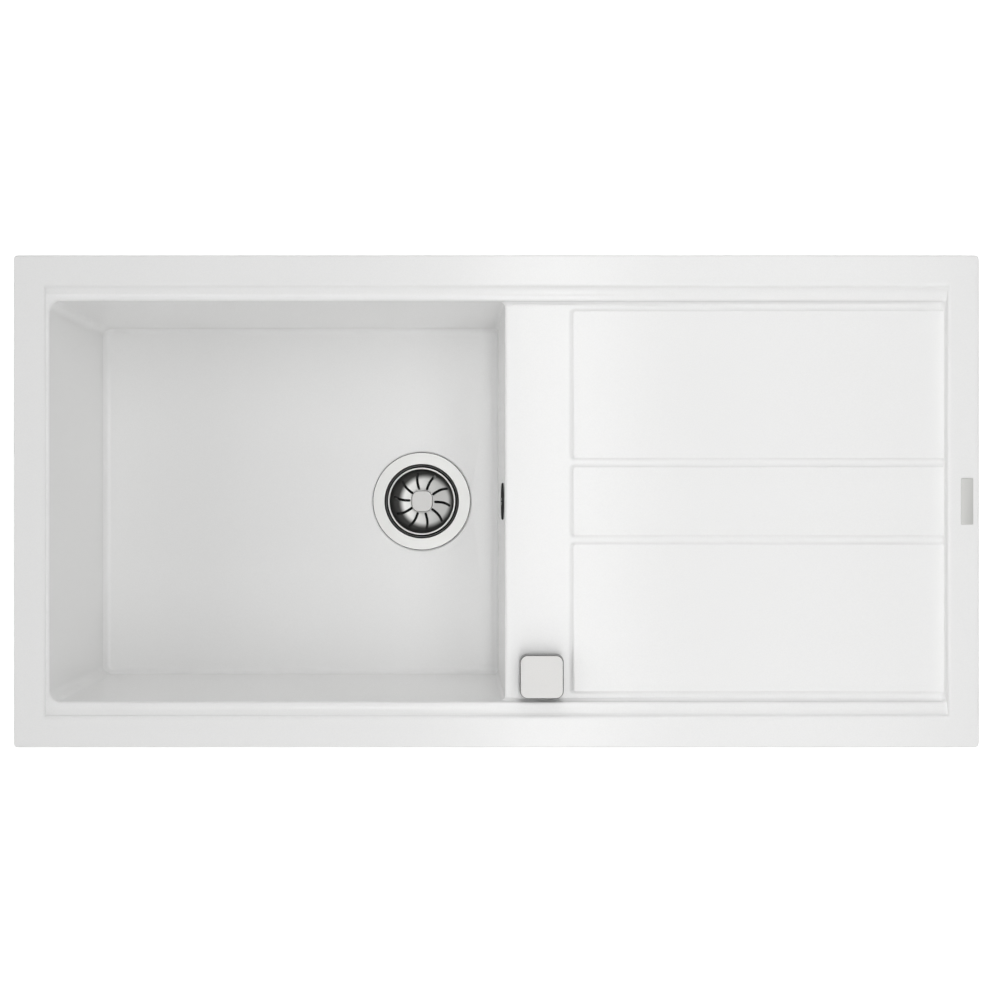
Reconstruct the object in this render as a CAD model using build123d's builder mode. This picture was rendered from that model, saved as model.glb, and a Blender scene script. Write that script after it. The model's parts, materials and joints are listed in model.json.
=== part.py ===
from build123d import *
from math import atan2, cos, degrees, radians, sin, tan
import os

# Kitchen sink with drainboard: a moulded stone composite sink for a worktop cut-out.
# Millimetres. X runs along the sink towards the drainboard, Y towards the back, Z up.
# The origin is the centre of the plane in which the rim rests on the worktop.

os.makedirs("parts", exist_ok=True)

# ---------------------------------------------------------------- driving dimensions
# Moulded sink
sink_length = 1000.0
sink_width = 510.0
sink_corner = 4.5
seal_thickness = 1.5
rim_thickness = 8.5
rim_edge_round = 1.8
wall = 8.5
wall_draft = 2.4
rim_back = 30.6
rim_right = 31.4
rim_left = 32.4
recess_slope = 46.0
recess_mouth_round = 4.5
recess_foot_round = 12.0
recess_end_slope = 10.0
recess_end_round = 3.0
recess_left_round = 2.0
ledge_drop = 5.0
ledge_round = 2.4
ledge_width = 16.2
ledge_width_left = 3.0
tray_corner = 15.5

# Bowl
bowl_depth = 200.0
bowl_right = 9.2
bowl_left_corner = 11.0
bowl_deck_corner = 5.0
bowl_floor_round = 8.0
floor_thickness = 9.0

# Drainboard
deck_drop = 9.5
deck_rise = 2.2
deck_edge_round = 2.4
deck_end_round = 6.0
panel_rise = 2.2
panel_start = 78.2
centre_panel_width = 75.0
groove_width = 5.5
gutter_width = 8.0
panel_corner = 4.5
panel_side_angle = 45.0
panel_foot_round = 6.0

# Underside
rib_inset = 13.0
rib_thickness = 7.0
rib_depth = 23.5
stiffener_thickness = 6.0
stiffener_depth = 8.5
stiffener_y = 44.0
cross_stiffener_x = (160.0, 280.0)
tap_hole_diameter = 35.0
knockout_depth = 4.0

# Rim seal and blank plate
seal_width = 5.0
seal_inset = 3.0
plate_length = 48.0
plate_width = 12.5
plate_corner = 1.0
plate_thickness = 0.9
plate_recess = 0.5
plate_inset = 12.6

# Clearances
running = 0.1
bearing = 0.05
free = 0.3

# Waste: pressed cup
waste_x = -87.3
flange_diameter = 114.0
sheet = 1.2
seat_recess = 2.2
seat_gap = 1.5
waste_hole = 90.0
cup_mouth = 42.6
cup_foot = 40.8
cup_depth = 32.0
cup_mouth_round = 3.0
cup_corner = 4.0
throat = 24.0
gasket_thickness = 0.9
screw_count = 3
screw_angle = 60.0
screw_circle = 32.5
screw_radius = 2.5
screw_head = 4.2
screw_length = 10.0

# Waste: housing
washer_thickness = 3.0
body_flange = 53.0
flange_plate = 4.0
body_cup = 46.0
body_wall = 3.0
cup_washer_thickness = 1.3
cup_washer_width = 4.0
shelf_thickness = 5.0
kidney_width = 11.0
kidney_span = 80.0
chamber_radius = 28.0
body_round = 5.0
outlet_radius = 23.9
outlet_bore = 20.0
outlet_length = 22.0
tail_flange = 2.0
tail_spigot = 4.0
guide_drop = 2.5
guide_length = 12.0
guide_radius = 8.0
socket_depth = 22.0
duct_seal_gap = 1.5

# Strainer basket and stopper
basket_radius = 39.25
basket_sheet = 0.8
basket_wall = 36.0
basket_bead = 2.2
basket_depth = 16.6
basket_flat = 23.0
basket_sink = 0.5
slot_count = 10
slot_width = 2.3
slot_start = 15.3
slot_middle = 22.5
slot_end = 32.5
slot_phase = -5.9
slot_bow = 3.2
slot_hook = -2.5
basket_knob_width = 24.2
basket_knob_height = 8.2
basket_knob_corner = 8.6
basket_knob_round = 0.8
stud_radius = 3.0
stud_length = 4.9
stem_plate = 13.5
stem_radius = 7.0
stopper_radius = 27.0
stopper_thickness = 3.0
stopper_travel = 9.0
seal_nut_radius = 11.0
seal_nut_height = 4.0
pin_radius = 4.0
pin_grip = 8.0
pin_tail = 12.0

# Cam that lifts the pin, and its crank
cam_arm = 20.0
cam_swing = 26.0
cam_tip = 2.5
cam_hub = 6.0
cam_width = 8.0
shaft_radius = 4.0
shaft_boss = 8.0
boss_length = 13.0
ring_section = 1.2
crank_length = 22.0
crank_hub = 7.0
crank_tip = 4.0
crank_thickness = 4.0
crank_screw_head = 5.5
crank_screw_radius = 1.5
cable_hole = 1.6
gland_radius = 4.0
gland_collar = 6.0
gland_collar_height = 3.0
gland_length = 16.0
gland_bore = 1.8
bracket_offset = 40.0
bracket_thickness = 4.0

# Overflow
overflow_drop = 60.0
overflow_diameter = 40.0
overflow_proud = 1.8
overflow_round = 1.4
overflow_hole = 32.0
grid_slots = 8
grid_slot_length = 6.0
grid_slot_width = 2.6
grid_slot_circle = 10.0
spigot_wall = 2.0
overflow_gasket_thickness = 1.5
elbow_flange = 23.0
elbow_plate = 3.0
elbow_bore = 15.0
elbow_hub = 5.0
elbow_hub_length = 8.0
elbow_top = -26.0
elbow_height = 66.0
duct_width = 44.0
duct_depth = 18.0
duct_wall = 2.0
duct_bend = 20.0
duct_x = 31.0
duct_top = -80.0
overflow_screw_radius = 2.5
overflow_screw_head = 4.0

# Waste control knob
knob_x = 47.0
knob_inset = 27.2
knob_size = 46.0
knob_top_size = 43.0
knob_corner = 8.0
knob_height = 12.0
knob_gap = 6.5
knob_wall = 2.2
knob_top_round = 1.0
core_radius = 10.0
core_rib = 2.0
barrel_radius = 16.5
escutcheon_radius = 21.0
escutcheon_top = 19.0
escutcheon_plate = 2.3
spindle_radius = 4.0
housing_radius = 26.0
housing_length = 34.0
housing_wall = 2.5
drum_radius = 18.0
drum_width = 16.0
drum_groove = 2.0
ear_radius = 4.0
ear_length = 12.0
cover_thickness = 4.0
cover_screw_radius = 1.5
cover_screw_head = 2.8

# Worktop clips
clip_boss = 16.0
clip_inset_back = 9.0
clip_inset_side = 7.0
clip_share = 0.33
insert_radius = 4.5
insert_length = 14.0
clip_screw_radius = 3.0
clip_screw_head = 5.5
clip_head_height = 4.0
worktop = 38.0
claw_width = 12.0
claw_reach = 22.0
claw_heel = 6.4
claw_sheet = 2.5
claw_drop = 8.0
claw_hub = 5.5
claw_hub_height = 12.0

# ---------------------------------------------------------------- levels and planes
rim_under = seal_thickness
rim_top = rim_under + rim_thickness
ledge = rim_top - ledge_drop
deck = ledge - deck_drop
floor = rim_top - bowl_depth
floor_under = floor - floor_thickness
draft = tan(radians(wall_draft))
recess_back = sink_width / 2 - rim_back
recess_right = sink_length / 2 - rim_right
recess_left = sink_length / 2 - rim_left
recess_foot = recess_back - ledge_drop * tan(radians(recess_slope))
bowl_back = recess_back - ledge_width
bowl_left = recess_left - ledge_width_left
above = rim_top + wall
beneath = 2 * floor
far = sink_length
deck_run = recess_right - bowl_right
deck_angle = deck_rise / deck_run
deck_foot = recess_right - (rim_top - deck - deck_rise) * tan(radians(recess_end_slope))
deck_plane = Plane(
    origin=(bowl_right, 0, deck),
    x_dir=(deck_run, 0, deck_rise),
    z_dir=(-deck_rise, 0, deck_run),
)


def deck_z(x):
    return deck + (x - bowl_right) * deck_angle


def bowl_left_x(z):
    return -bowl_left + (rim_top - z) * draft


def bowl_right_x(z):
    return bowl_right + (z - deck) * draft


def bowl_y(z):
    return bowl_back + (z - ledge) * draft


def recess_left_x(z):
    return -recess_left + (rim_top - z) * draft


def edges_at(part, x=None, y=None, z=None, tol=0.5):
    """Edges of a part whose middle lies at this place. y stands for both sides."""
    found = ShapeList()
    for edge in part.edges():
        middle = edge @ 0.5
        fits_x = x is None or abs(middle.X - x) < tol
        fits_y = y is None or abs(abs(middle.Y) - y) < tol
        fits_z = z is None or abs(middle.Z - z) < tol
        if fits_x and fits_y and fits_z:
            found.append(edge)
    return found


def corners_at(section, *places):
    """Corners of a section that lie nearest to these places."""
    return ShapeList(section.vertices().sort_by_distance(Vector(*place))[0] for place in places)


def save(part, name):
    part.part.label = name
    export_step(part.part, f"parts/{name}.step")


# ---------------------------------------------------------------- moulded sink: the hollow
with BuildPart() as ledges:
    with BuildSketch(Plane.YZ) as section:
        with BuildLine():
            Polyline(
                (-sink_width, beneath),
                (-sink_width, rim_top),
                (-recess_back, rim_top),
                (-recess_foot, ledge),
                (recess_foot, ledge),
                (recess_back, rim_top),
                (sink_width, rim_top),
                (sink_width, beneath),
                close=True,
            )
        make_face()
        fillet(corners_at(section, (-recess_back, rim_top), (recess_back, rim_top)), recess_mouth_round)
        fillet(corners_at(section, (-recess_foot, ledge), (recess_foot, ledge)), recess_foot_round)
    extrude(amount=sink_length, both=True)

with BuildPart() as deck_side:
    with BuildSketch(Plane.XZ) as section:
        with BuildLine():
            Polyline(
                (bowl_right_x(beneath), beneath),
                (bowl_right, deck),
                (deck_foot, deck_z(deck_foot)),
                (recess_right, rim_top),
                (far, rim_top),
                (far, beneath),
                close=True,
            )
        make_face()
        fillet(corners_at(section, (bowl_right, deck)), deck_edge_round)
        fillet(corners_at(section, (deck_foot, deck_z(deck_foot))), deck_end_round)
        fillet(corners_at(section, (recess_right, rim_top)), recess_end_round)
    extrude(amount=sink_width, both=True)

with BuildPart() as left_side:
    with BuildSketch(Plane.XZ) as section:
        with BuildLine():
            Polyline(
                (-far, beneath),
                (-far, rim_top),
                (-recess_left, rim_top),
                (recess_left_x(ledge), ledge),
                (recess_left_x(ledge), beneath),
                close=True,
            )
        make_face()
        fillet(corners_at(section, (-recess_left, rim_top)), recess_left_round)
    extrude(amount=sink_width, both=True)

with BuildPart() as well:
    for z in (above, floor):
        left = bowl_left_x(z)
        right = recess_right + 2 * wall
        with BuildSketch(Plane.XY.offset(z)):
            with Locations(((left + right) / 2, 0)):
                Rectangle(right - left, 2 * bowl_y(z))
    loft(ruled=True)
    upright = well.edges().filter_by(lambda edge: abs(edge.tangent_at(0.5).Z) > 0.9)
    fillet(upright.group_by(Axis.X)[0], bowl_left_corner)

# ---------------------------------------------------------------- moulded sink: outer shell of the bowl
with BuildPart() as bowl_shell:
    for z in (rim_under, floor_under):
        left = bowl_left_x(z) - wall
        right = bowl_right_x(z) + wall
        with BuildSketch(Plane.XY.offset(z)):
            with Locations(((left + right) / 2, 0)):
                Rectangle(right - left, 2 * (bowl_y(z) + wall))
    loft(ruled=True)
    upright = bowl_shell.edges().filter_by(lambda edge: abs(edge.tangent_at(0.5).Z) > 0.9)
    fillet(upright, bowl_deck_corner + wall)
    fillet(bowl_shell.faces().sort_by(Axis.Z)[0].edges(), bowl_floor_round + wall / 4)

# ---------------------------------------------------------------- drainboard panels
panel_end = recess_right + wall / 2
with BuildPart() as panels:
    with BuildSketch(deck_plane):
        with Locations(((panel_end - bowl_right) / 2 + 3 * wall / 4, 0)):
            Rectangle(panel_end - bowl_right - 3 * wall / 2, 2 * bowl_back - wall / 2)
    extrude(amount=-wall / 3)
    panel_length = panel_end - panel_start
    side_panel_width = bowl_back - gutter_width - centre_panel_width / 2 - groove_width
    side_y = centre_panel_width / 2 + groove_width + side_panel_width / 2
    with BuildSketch(deck_plane):
        for y, width in ((0, centre_panel_width), (side_y, side_panel_width), (-side_y, side_panel_width)):
            with Locations(((panel_start + panel_end) / 2 - bowl_right, y)):
                outline = Rectangle(panel_length, width)
            fillet(outline.vertices().group_by(Axis.X)[0], panel_corner)
    extrude(amount=panel_rise, taper=panel_side_angle)
    local_z = [deck_plane.to_local_coords(edge @ 0.5).Z for edge in panels.edges()]
    local_x = [deck_plane.to_local_coords(edge @ 0.5).X for edge in panels.edges()]
    reach = panel_end - bowl_right - 2 * panel_rise
    low_edges = ShapeList()
    for edge, height, along in zip(panels.edges(), local_z, local_x):
        inside = panel_start - bowl_right - panel_rise < along < reach
        middle_y = abs((edge @ 0.5).Y)
        if abs(height) < 0.01 and inside and middle_y < side_y + side_panel_width / 2 + 0.1:
            low_edges.append(edge)
    fillet(low_edges, panel_foot_round)

# ---------------------------------------------------------------- levels of the waste
seat = floor - seat_recess
flange_under = seat + gasket_thickness
flange_top = flange_under + sheet
cup_floor = floor - cup_depth
cup_under = cup_floor - sheet
body_top = floor_under - washer_thickness
basket_top = floor - basket_sink
basket_floor = basket_top - basket_depth
basket_under = basket_floor - basket_sheet
seal_open = cup_floor + stopper_travel + free
shelf_top = cup_under - cup_washer_thickness
shelf_low = shelf_top - shelf_thickness
cone_low = shelf_low - (body_cup - chamber_radius)
guide_high = shelf_low - guide_drop
guide_low = guide_high - guide_length
stem_low = guide_high + stopper_travel + 1
pin_low = guide_low - pin_tail
pin_high = stem_low + pin_grip - running
cam_lean = cam_swing / 2
cam_x = waste_x + cam_arm * (1 + cos(radians(cam_lean))) / 2
cam_z = pin_low - stopper_travel / 2 - free - cam_tip
chamber_low = cam_z - cam_arm / 2 - cam_tip
outlet_top = chamber_low - (chamber_radius - outlet_bore)
outlet_low = outlet_top - outlet_length

# ---------------------------------------------------------------- levels of the knob
knob_y = knob_inset - bowl_back
knob_seat = deck - 0.1
knob_pad = deck - wall - 0.2
escutcheon_seat = knob_seat + gasket_thickness
washer_low = knob_pad - seal_thickness
housing_low = washer_low - housing_length
knob_low = knob_gap
knob_high = knob_low + knob_height

# ---------------------------------------------------------------- overflow plane, on the bowl's right wall
overflow_z = rim_top - overflow_drop
overflow_in = Plane(
    origin=(bowl_right_x(overflow_z), 0, overflow_z),
    x_dir=(0, 1, 0),
    z_dir=(-cos(radians(wall_draft)), 0, sin(radians(wall_draft))),
)
wall_normal = wall * cos(radians(wall_draft))
overflow_out = overflow_in.offset(-wall_normal)

# ---------------------------------------------------------------- clip places: x, y and the way the claw points
rib_outset = sink_length / 2 - rib_inset
rib_outset_back = sink_width / 2 - rib_inset
clip_back_y = rib_outset_back - clip_inset_back
clip_side_x = rib_outset - clip_inset_side
clip_spacing = clip_share * sink_length
clip_places = [(x, side * clip_back_y, 0.0) for side in (1, -1) for x in (-clip_spacing, 0.0, clip_spacing)]
clip_places += [(-clip_side_x, 0.0, 90.0), (clip_side_x, 0.0, 90.0)]
boss_low = rim_under - rib_depth
rib_in = rib_outset - rib_thickness
rib_in_back = rib_outset_back - rib_thickness

# ---------------------------------------------------------------- moulded sink: the hollow with its roundings
with BuildPart() as ends:
    with BuildSketch(Plane.XY.offset(rim_top)):
        Rectangle(sink_length, sink_width)
    extrude(amount=-bowl_depth - 2 * floor_thickness)
    add(deck_side.part + left_side.part, mode=Mode.INTERSECT)

with BuildPart() as mould:
    with BuildSketch(Plane.XY.offset(rim_top)):
        Rectangle(sink_length, sink_width)
    extrude(amount=-bowl_depth - 2 * floor_thickness)
    add(ledges.part, mode=Mode.INTERSECT)
    add(well.part, mode=Mode.SUBTRACT)
    add(ends.part)
    corner_z = (floor + deck - deck_edge_round) / 2
    corners = edges_at(mould, x=bowl_right_x(corner_z), y=bowl_y(corner_z), z=corner_z)
    fillet(corners, bowl_deck_corner)
    bowl_floor = mould.faces().filter_by(lambda face: abs(face.center().Z - floor) < 0.01).sort_by(SortBy.AREA)[-1]
    fillet(bowl_floor.outer_wire().edges(), bowl_floor_round)
    fillet(edges_at(mould, y=bowl_back, z=ledge, tol=0.1), ledge_round)

# ---------------------------------------------------------------- moulded sink
with BuildPart() as sink_body:
    with BuildSketch(Plane.XY.offset(rim_under)):
        RectangleRounded(sink_length, sink_width, sink_corner)
    extrude(amount=rim_thickness)
    fillet(sink_body.faces().sort_by(Axis.Z)[-1].edges(), rim_edge_round)
    # ledge tray and drainboard tray
    with BuildSketch(Plane.XY.offset(rim_under)):
        with Locations(((recess_right - recess_left) / 2, 0)):
            RectangleRounded(recess_left + recess_right + 2 * wall, 2 * (recess_back + wall), tray_corner)
    extrude(amount=-ledge_drop)
    with BuildSketch(deck_plane.offset(-wall)):
        with Locations((deck_run / 2, 0)):
            Rectangle(deck_run, 2 * (bowl_back + wall))
    extrude(amount=wall)
    # knob pad and stiffening ribs under the drainboard
    with BuildSketch(Plane.XY.offset(knob_pad)):
        with Locations((knob_x, knob_y)):
            Circle(housing_radius + 2)
    extrude(amount=wall / 2)
    rib_low = deck - wall - stiffener_depth
    with BuildSketch(Plane.XY.offset(rib_low)):
        with Locations((bowl_right + wall / 2 + (rib_outset - bowl_right) / 2, 0)):
            with GridLocations(1, 2 * stiffener_y, 1, 2):
                Rectangle(rib_outset - bowl_right - rib_thickness, stiffener_thickness)
        for x in cross_stiffener_x:
            with Locations((x, 0)):
                Rectangle(stiffener_thickness, 2 * rib_outset_back - rib_thickness)
    extrude(amount=stiffener_depth + wall / 2)
    # rib round the cut-out, with a boss for each clip
    with BuildSketch(Plane.XY.offset(boss_low)):
        RectangleRounded(2 * rib_outset, 2 * rib_outset_back, 2 * rib_thickness)
        RectangleRounded(2 * rib_in, 2 * rib_in_back, rib_thickness, mode=Mode.SUBTRACT)
        with Locations([(x, y) for x, y, turn in clip_places]):
            Circle(clip_boss / 2)
    extrude(amount=rib_depth)
    add(bowl_shell.part)
    add(mould.part, mode=Mode.INTERSECT)
    add(panels.part)

    # seat, hole and flats for what is fastened to it
    with BuildSketch(Plane.XY.offset(floor)):
        with Locations((waste_x, 0)):
            Circle(flange_diameter / 2 + seat_gap)
    extrude(amount=-seat_recess, mode=Mode.SUBTRACT)
    with BuildSketch(Plane.XY.offset(floor)):
        with Locations((waste_x, 0)):
            Circle(waste_hole / 2)
    extrude(amount=-floor_thickness, mode=Mode.SUBTRACT)
    with BuildSketch(overflow_in):
        Circle(overflow_hole / 2)
    extrude(amount=-2 * wall, mode=Mode.SUBTRACT)
    with BuildSketch(Plane.XY.offset(knob_seat)):
        with Locations((knob_x, knob_y)):
            Circle(escutcheon_radius + 0.5)
    extrude(amount=panel_rise, mode=Mode.SUBTRACT)
    with BuildSketch(Plane.XY.offset(deck_z(knob_x))):
        with Locations((knob_x, knob_y)):
            Circle(tap_hole_diameter / 2)
    extrude(amount=-2 * wall, both=True, mode=Mode.SUBTRACT)
    with BuildSketch(Plane.XY.offset(knob_pad)):
        with Locations((knob_x, -knob_y)):
            Circle(tap_hole_diameter / 2)
    extrude(amount=knockout_depth, mode=Mode.SUBTRACT)
    with BuildSketch(Plane.XY.offset(rim_top)):
        with Locations((sink_length / 2 - plate_inset, 0)):
            Rectangle(plate_width + 2 * running, plate_length + 2 * running)
    extrude(amount=-plate_recess, mode=Mode.SUBTRACT)
    with BuildSketch(Plane.XY.offset(boss_low)):
        with Locations([(x, y) for x, y, turn in clip_places]):
            Circle(insert_radius)
    extrude(amount=insert_length, mode=Mode.SUBTRACT)
save(sink_body, "sink_body")

# ---------------------------------------------------------------- rim seal and blank plate
with BuildPart() as rim_seal:
    with BuildSketch():
        RectangleRounded(sink_length - 2 * seal_inset, sink_width - 2 * seal_inset, sink_corner)
        inset = 2 * (seal_inset + seal_width)
        Rectangle(sink_length - inset, sink_width - inset, mode=Mode.SUBTRACT)
    extrude(amount=seal_thickness)
save(rim_seal, "rim_seal")

with BuildPart() as rim_plate:
    with BuildSketch(Plane.XY.offset(rim_top - plate_recess)):
        with Locations((sink_length / 2 - plate_inset, 0)):
            RectangleRounded(plate_width, plate_length, plate_corner)
    extrude(amount=plate_thickness)
    chamfer(rim_plate.faces().sort_by(Axis.Z)[-1].edges(), plate_thickness / 5)
save(rim_plate, "rim_plate")


# ---------------------------------------------------------------- turned pieces
def turned(plane, points, rounds=()):
    """Half section from (radius, height) points, with (corner, radius) roundings, ready to revolve."""
    with BuildSketch(plane) as section:
        with BuildLine():
            Polyline(*points, close=True)
        make_face()
        for corner, radius in rounds:
            fillet(section.vertices().sort_by_distance(Vector(*corner))[0], radius)
    return section.sketch.faces()


def ring(plane, inner, outer, low, high):
    """Half section of a plain ring."""
    return turned(plane, ((inner, low), (outer, low), (outer, high), (inner, high)))


def level(height, x=waste_x, y=0.0):
    """Horizontal plane with its middle above or below this place."""
    return Plane(origin=(x, y, height), x_dir=(1, 0, 0), z_dir=(0, 0, 1))


def section_plane(x, y):
    """Upright plane through this place, for half sections."""
    return Plane(origin=(x, y, 0), x_dir=(1, 0, 0), z_dir=(0, -1, 0))


waste_plane = section_plane(waste_x, 0)
waste_axis = Axis((waste_x, 0, 0), (0, 0, 1))
knob_plane = section_plane(knob_x, knob_y)
knob_axis = Axis((knob_x, knob_y, 0), (0, 0, 1))
screw_places = {"radius": screw_circle, "count": screw_count, "start_angle": screw_angle}

# ---------------------------------------------------------------- pressed cup, its seals and screws
with BuildPart() as strainer_flange:
    section = turned(
        waste_plane,
        (
            (flange_diameter / 2, flange_under),
            (flange_diameter / 2, flange_top),
            (cup_mouth, flange_top),
            (cup_foot, cup_floor),
            (throat, cup_floor),
            (throat, cup_under),
            (cup_foot + sheet, cup_under),
            (cup_mouth + sheet, flange_under),
        ),
        (
            ((cup_mouth, flange_top), cup_mouth_round),
            ((cup_mouth + sheet, flange_under), cup_mouth_round - sheet),
            ((cup_foot, cup_floor), cup_corner),
            ((cup_foot + sheet, cup_under), cup_corner + sheet),
            ((flange_diameter / 2, flange_top), 2 * sheet / 3),
        ),
    )
    revolve(section, axis=waste_axis)
    with BuildSketch(level(cup_floor)):
        with PolarLocations(**screw_places):
            Circle(screw_radius + running)
    extrude(amount=-sheet, mode=Mode.SUBTRACT)
save(strainer_flange, "strainer_flange")

with BuildPart() as flange_gasket:
    inner = cup_mouth + sheet + cup_mouth_round
    revolve(ring(waste_plane, inner, flange_diameter / 2 - 1, seat, flange_under), axis=waste_axis)
save(flange_gasket, "flange_gasket")

with BuildPart() as waste_washer:
    revolve(ring(waste_plane, waste_hole / 2 + 1, body_flange - 1, body_top, floor_under), axis=waste_axis)
save(waste_washer, "waste_washer")

with BuildPart() as cup_washer:
    inner = throat + seat_gap
    revolve(ring(waste_plane, inner, inner + cup_washer_width, shelf_top, cup_under), axis=waste_axis)
save(cup_washer, "cup_washer")

with BuildPart() as flange_screws:
    with BuildSketch(level(cup_floor)):
        with PolarLocations(**screw_places):
            Circle(screw_head)
    extrude(amount=screw_radius)
    fillet(flange_screws.faces().group_by(Axis.Z)[-1].edges(), screw_radius / 3)
    with BuildSketch(level(cup_floor)):
        with PolarLocations(**screw_places):
            Circle(screw_radius)
    extrude(amount=-screw_length)
    with BuildSketch(level(cup_floor + screw_radius)):
        with PolarLocations(**screw_places):
            Rectangle(2 * screw_head, screw_radius / 3)
    extrude(amount=-screw_radius / 2, mode=Mode.SUBTRACT)
save(flange_screws, "flange_screws")

# ---------------------------------------------------------------- waste body
socket_width = duct_width + 2 * (duct_seal_gap + body_wall)
socket_height = duct_depth + 2 * (duct_seal_gap + body_wall)
socket_end = waste_x + body_cup + body_wall + socket_depth
inlet_z = body_top - socket_height / 2 - 1
inlet_plane = Plane(origin=(socket_end, 0, inlet_z), x_dir=(0, 1, 0), z_dir=(1, 0, 0))
cam_plane = Plane(origin=(cam_x, 0, cam_z), x_dir=(1, 0, 0), z_dir=(0, -1, 0))
boss_end = chamber_radius + body_wall + boss_length
crank_start = boss_end + free
gland_y = -(crank_start + crank_thickness / 2)
gland_z = cam_z + crank_length
bracket_plane = Plane(origin=(waste_x + bracket_offset, 0, 0), x_dir=(0, 1, 0), z_dir=(1, 0, 0))
arm_angle = screw_angle - 180 / screw_count

with BuildPart() as pin_guide:
    revolve(ring(waste_plane, pin_radius + bearing, guide_radius, guide_low, guide_high), axis=waste_axis)
    with BuildSketch(level(guide_high - 1)):
        with PolarLocations(guide_radius - 1, screw_count, start_angle=arm_angle):
            Rectangle(body_cup, body_wall, align=(Align.MIN, Align.CENTER))
    extrude(amount=-guide_length / 2)

with BuildSketch() as kidney:
    SlotArc(CenterArc((0, 0), (throat + body_cup) / 2 + 1, -kidney_span / 2, kidney_span), kidney_width)

with BuildPart() as waste_hollow:
    hollow = (
        (0, body_top),
        (body_cup, body_top),
        (body_cup, shelf_top),
        (throat + seat_gap, shelf_top),
        (throat + seat_gap, shelf_low),
        (body_cup, shelf_low),
        (chamber_radius, cone_low),
        (chamber_radius, chamber_low),
        (0, chamber_low),
    )
    revolve(turned(waste_plane, hollow), axis=waste_axis)
    with BuildSketch(level(shelf_top)):
        with PolarLocations(0, screw_count, start_angle=arm_angle):
            add(kidney.sketch)
    extrude(amount=-shelf_thickness)
    with BuildSketch(level(shelf_low)):
        with PolarLocations(**screw_places):
            Circle(2 * screw_radius)
    extrude(amount=-body_wall, mode=Mode.SUBTRACT)
    add(pin_guide.part, mode=Mode.SUBTRACT)

with BuildPart() as waste_body:
    shell = (
        (0, body_top),
        (body_flange, body_top),
        (body_flange, body_top - flange_plate),
        (body_cup + body_wall, body_top - flange_plate),
        (body_cup + body_wall, shelf_low),
        (chamber_radius + body_wall, cone_low),
        (chamber_radius + body_wall, chamber_low),
        (0, chamber_low),
    )
    rounds = (
        ((body_cup + body_wall, shelf_low), body_round),
        ((chamber_radius + body_wall, cone_low), body_round),
    )
    revolve(turned(waste_plane, shell, rounds), axis=waste_axis)
    # socket for the overflow duct, shaft bosses and cable bracket
    with BuildSketch(inlet_plane):
        SlotOverall(socket_width, socket_height)
    extrude(amount=body_cup / 2 + waste_x - socket_end)
    with BuildSketch(cam_plane.offset(-chamber_radius - body_wall)):
        Circle(shaft_boss)
    extrude(amount=chamber_radius + body_wall + boss_end)
    with BuildSketch(bracket_plane):
        with Locations((gland_y, gland_z)):
            Circle(2 * gland_radius)
        with Locations((-body_cup / 2, (shelf_low + inlet_z) / 2)):
            Rectangle(body_wall, shelf_thickness + body_wall)
        make_hull()
    extrude(amount=bracket_thickness / 2, both=True)
    add(waste_hollow.part, mode=Mode.SUBTRACT)
    # bores
    with BuildSketch(level(shelf_top)):
        with PolarLocations(**screw_places):
            Circle(screw_radius + bearing)
    extrude(amount=-shelf_thickness - body_wall, mode=Mode.SUBTRACT)
    with BuildSketch(inlet_plane):
        SlotOverall(duct_width + 2 * duct_seal_gap, duct_depth + 2 * duct_seal_gap)
    extrude(amount=-socket_depth, mode=Mode.SUBTRACT)
    with BuildSketch(inlet_plane):
        SlotOverall(duct_width - 2 * duct_wall, duct_depth - 2 * duct_wall)
    extrude(amount=body_cup / 2 + waste_x - socket_end, mode=Mode.SUBTRACT)
    with BuildSketch(cam_plane.offset(-chamber_radius)):
        Circle(shaft_radius + bearing)
    extrude(amount=chamber_radius + boss_end, mode=Mode.SUBTRACT)
    with BuildSketch(cam_plane.offset(boss_end)):
        Circle(shaft_radius + 2 * (ring_section + running))
    extrude(amount=-2 * (ring_section + running), mode=Mode.SUBTRACT)
    with BuildSketch(bracket_plane):
        with Locations((gland_y, gland_z)):
            Circle(gland_radius + bearing)
    extrude(amount=bracket_thickness, both=True, mode=Mode.SUBTRACT)
save(waste_body, "waste_body")

# ---------------------------------------------------------------- lower outlet, pushed into the housing
with BuildPart() as outlet_tail:
    spigot = chamber_radius - running
    section = turned(
        waste_plane,
        (
            (spigot, chamber_low + tail_spigot),
            (spigot, chamber_low),
            (chamber_radius + body_wall, chamber_low),
            (chamber_radius + body_wall, chamber_low - tail_flange),
            (outlet_radius, outlet_top),
            (outlet_radius, outlet_low),
            (outlet_bore, outlet_low),
            (outlet_bore, outlet_top),
            (spigot - body_wall, chamber_low),
            (spigot - body_wall, chamber_low + tail_spigot),
        ),
    )
    revolve(section, axis=waste_axis)
save(outlet_tail, "outlet_tail")

# ---------------------------------------------------------------- lift pin
with BuildPart() as lift_pin:
    with BuildSketch(level(pin_low)):
        Circle(pin_radius)
    extrude(amount=pin_high - pin_low)
    chamfer(lift_pin.faces().sort_by(Axis.Z)[-1].edges(), pin_radius / 6)
    fillet(lift_pin.faces().sort_by(Axis.Z)[0].edges(), pin_radius - free)
save(lift_pin, "lift_pin")

# ---------------------------------------------------------------- strainer basket
with BuildSketch() as basket_slot:
    slot_line = ThreePointArc(
        (slot_start, 0),
        (slot_middle * cos(radians(slot_bow)), slot_middle * sin(radians(slot_bow))),
        (slot_end * cos(radians(slot_hook)), slot_end * sin(radians(slot_hook))),
    )
    SlotArc(slot_line, slot_width)

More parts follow.
